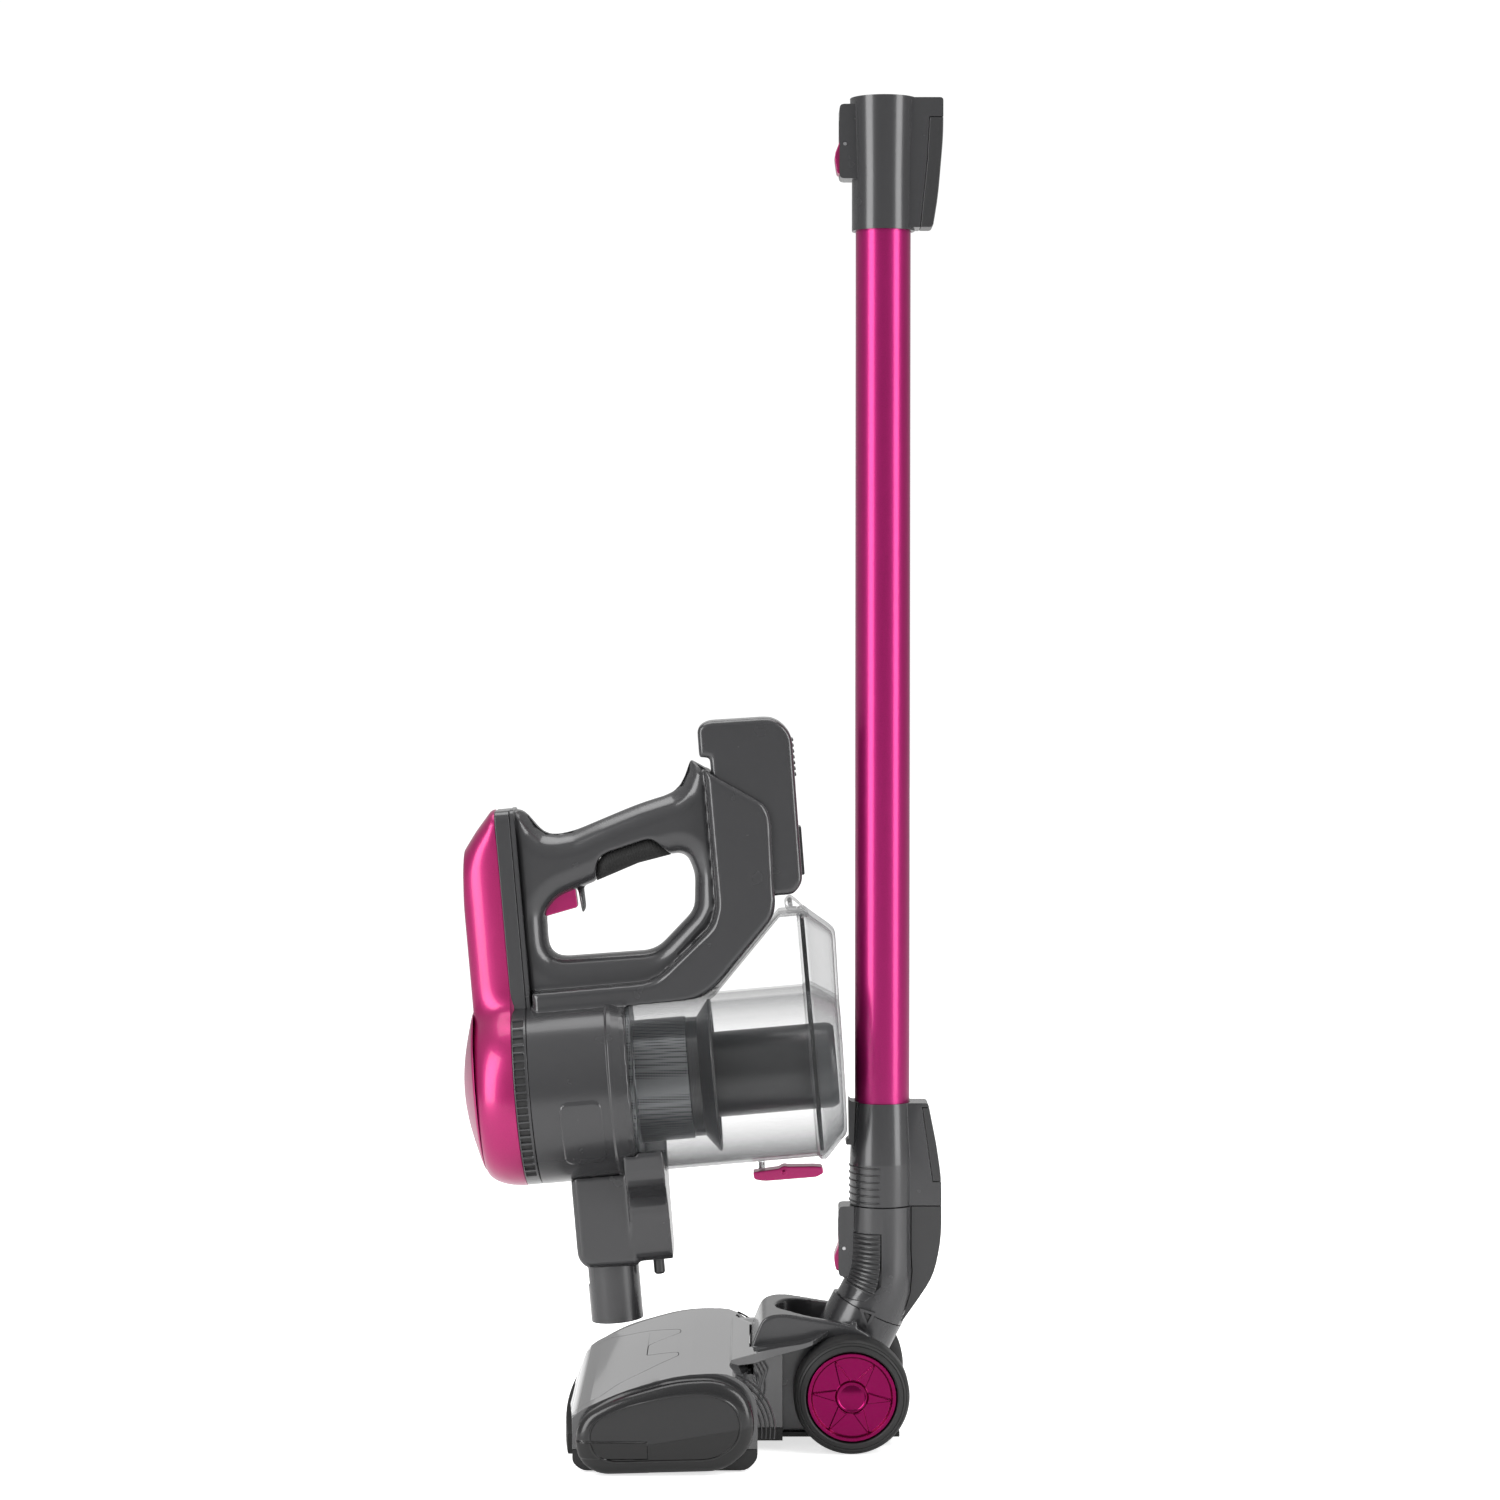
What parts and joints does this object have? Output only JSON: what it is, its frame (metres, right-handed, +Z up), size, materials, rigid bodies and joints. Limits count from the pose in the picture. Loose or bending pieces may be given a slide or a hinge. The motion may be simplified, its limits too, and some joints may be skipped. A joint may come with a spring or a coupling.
{
  "type": "upright vacuum cleaner",
  "caption": "Cordless stick vacuum stored upright: powered floor head, tilting neck, straight wand and a handheld motor and bin unit hung on the wand.",
  "frame": {"origin": "middle of the machine's footprint box, on the floor", "axes": "+Z up along the wand, -X towards the nozzle's front, Y along the wheel axle, user's left at -Y"},
  "size_m": [0.297, 0.236, 0.8294],
  "materials": {
    "shell_grey": "glossy gunmetal grey moulded plastic",
    "trim_dark": "satin dark grey moulded plastic",
    "pink_gloss": "metallic magenta painted plastic",
    "pink_tube": "magenta anodised aluminium",
    "soft_rubber": "black soft rubber",
    "tread": "black tyre rubber, smooth",
    "clear_plastic": "clear polycarbonate",
    "shroud_metal": "fine perforated metal mesh",
    "bare_steel": "bright steel",
    "motor_can": "motor in its moulded can",
    "bristle": "dense nylon bristle"
  },
  "bodies": {
    "floor_head": {"head_base": "trim_dark", "head_cover": "shell_grey", "brush_window": "shell_grey", "end_cap_left": "trim_dark", "end_cap_right": "trim_dark", "front_bumper": "soft_rubber", "neck_cradle": "shell_grey", "brush_motor": "motor_can", "drive_belt": "soft_rubber", "axle_left": "bare_steel", "axle_right": "bare_steel"},
    "wheel_left": {"tyre_left": "tread", "hub_left": "pink_gloss"},
    "wheel_right": {"tyre_right": "tread", "hub_right": "pink_gloss"},
    "roller_left": {"front_roller_left": "trim_dark"},
    "roller_right": {"front_roller_right": "trim_dark"},
    "brush_roll": {"brush_core": "pink_gloss", "bristle_strip_a": "bristle", "bristle_strip_b": "bristle", "brush_pulley": "trim_dark"},
    "motor_shaft": {"motor_pulley": "trim_dark"},
    "neck_lower": {"neck_tube": "shell_grey"},
    "neck_upper": {"neck_elbow": "shell_grey", "neck_back_cover": "trim_dark", "neck_rib_panel": "trim_dark", "upright_catch": "shell_grey", "neck_button_pin": "bare_steel"},
    "neck_release": {"neck_button": "pink_gloss"},
    "wand": {"wand_tube": "pink_tube", "lower_coupling": "shell_grey", "lower_back_cover": "trim_dark", "storage_hook": "trim_dark", "upper_coupling": "shell_grey", "upper_back_cover": "trim_dark", "wand_button_pin": "bare_steel"},
    "wand_release": {"wand_button": "pink_gloss"},
    "handheld": {"rear_cap": "pink_gloss", "cap_disc": "pink_gloss", "vent_ring": "shell_grey", "body_shell_left": "shell_grey", "body_shell_right": "shell_grey", "grip_insert": "soft_rubber", "suction_motor": "motor_can", "cyclone_shroud": "shroud_metal", "shroud_skirt": "trim_dark", "filter_tube": "trim_dark", "dust_bin": "clear_plastic", "door_hinge_pin": "bare_steel", "inlet_housing": "shell_grey", "inlet_tube": "shell_grey", "contact_plug": "trim_dark", "latch_spring": "bare_steel"},
    "trigger": {"trigger": "pink_gloss"},
    "battery": {"battery_case": "shell_grey", "cell_pack": "motor_can"},
    "battery_release": {"battery_latch": "trim_dark"},
    "bin_door": {"bin_door": "clear_plastic", "door_seal": "soft_rubber"},
    "door_lever": {"door_latch": "pink_gloss"}
  },
  "joints": [
    {"name": "wheel_left_spin", "type": "hinge", "parent": "floor_head", "child": "wheel_left", "pos_m": [0.09168, 0, 0.0354], "axis": [0, 1, 0], "continuous": true},
    {"name": "wheel_right_spin", "type": "hinge", "parent": "floor_head", "child": "wheel_right", "pos_m": [0.09168, 0, 0.0354], "axis": [0, 1, 0], "continuous": true},
    {"name": "roller_left_spin", "type": "hinge", "parent": "floor_head", "child": "roller_left", "pos_m": [-0.06882, 0, 0.005], "axis": [0, 1, 0], "continuous": true},
    {"name": "roller_right_spin", "type": "hinge", "parent": "floor_head", "child": "roller_right", "pos_m": [-0.06882, 0, 0.005], "axis": [0, 1, 0], "continuous": true},
    {"name": "brush_spin", "type": "hinge", "parent": "floor_head", "child": "brush_roll", "pos_m": [-0.03832, 0, 0.025], "axis": [0, 1, 0], "continuous": true},
    {"name": "motor_shaft_spin", "type": "hinge", "parent": "floor_head", "child": "motor_shaft", "pos_m": [0.00668, 0, 0.036], "axis": [0, 1, 0], "continuous": true},
    {"name": "neck_recline", "type": "hinge", "parent": "floor_head", "child": "neck_lower", "pos_m": [0.09168, 0, 0.0354], "axis": [0, 1, 0], "range_deg": [0, 70]},
    {"name": "neck_swivel", "type": "hinge", "parent": "neck_lower", "child": "neck_upper", "pos_m": [0.10318, 0, 0.0797], "axis": [0.454, 0, 0.891], "range_deg": [-30, 30]},
    {"name": "neck_button_press", "type": "hinge", "parent": "neck_upper", "child": "neck_release", "pos_m": [0.08808, 0, 0.1181], "axis": [0, -1, 0], "range_deg": [0, 5], "stiffness_Nm_per_rad": 0.3, "springref_deg": -2.86},
    {"name": "wand_pull", "type": "slide", "parent": "neck_upper", "child": "wand", "axis": [0, 0, 1], "range_m": [0, 0.06]},
    {"name": "wand_button_press", "type": "hinge", "parent": "wand", "child": "wand_release", "pos_m": [0.08808, 0, 0.8006], "axis": [0, -1, 0], "range_deg": [0, 5], "stiffness_Nm_per_rad": 0.3, "springref_deg": -2.86},
    {"name": "handheld_lift", "type": "slide", "parent": "wand", "child": "handheld", "axis": [-0.7071, 0, 0.7071], "range_m": [0, 0.33]},
    {"name": "trigger_pull", "type": "slide", "parent": "handheld", "child": "trigger", "axis": [-0.0872, 0, 0.9962], "range_m": [0, 0.003], "stiffness_N_per_m": 600, "springref_m": -0.001},
    {"name": "battery_slide", "type": "slide", "parent": "handheld", "child": "battery", "axis": [-0.0872, 0, 0.9962], "range_m": [0, 0.115]},
    {"name": "battery_latch_press", "type": "slide", "parent": "battery", "child": "battery_release", "axis": [-0.9962, 0, -0.0872], "range_m": [0, 0.0015], "stiffness_N_per_m": 1000, "springref_m": -0.001},
    {"name": "bin_door_open", "type": "hinge", "parent": "handheld", "child": "bin_door", "pos_m": [0.05446, 0, 0.3331], "axis": [0, -1, 0], "range_deg": [0, 80]},
    {"name": "door_lever_press", "type": "hinge", "parent": "handheld", "child": "door_lever", "pos_m": [0.05079, 0, 0.16514], "axis": [0, 1, 0], "range_deg": [0, 5], "stiffness_Nm_per_rad": 0.5, "springref_deg": -2.86, "deforming": ["latch_spring"]}
  ],
  "couplings": [
    {"joint": "motor_shaft_spin", "follows": "brush_spin", "ratio": 2},
    {"joint": "bin_door_open", "follows": "handheld_lift", "rad_per_m": 4.2}
  ]
}
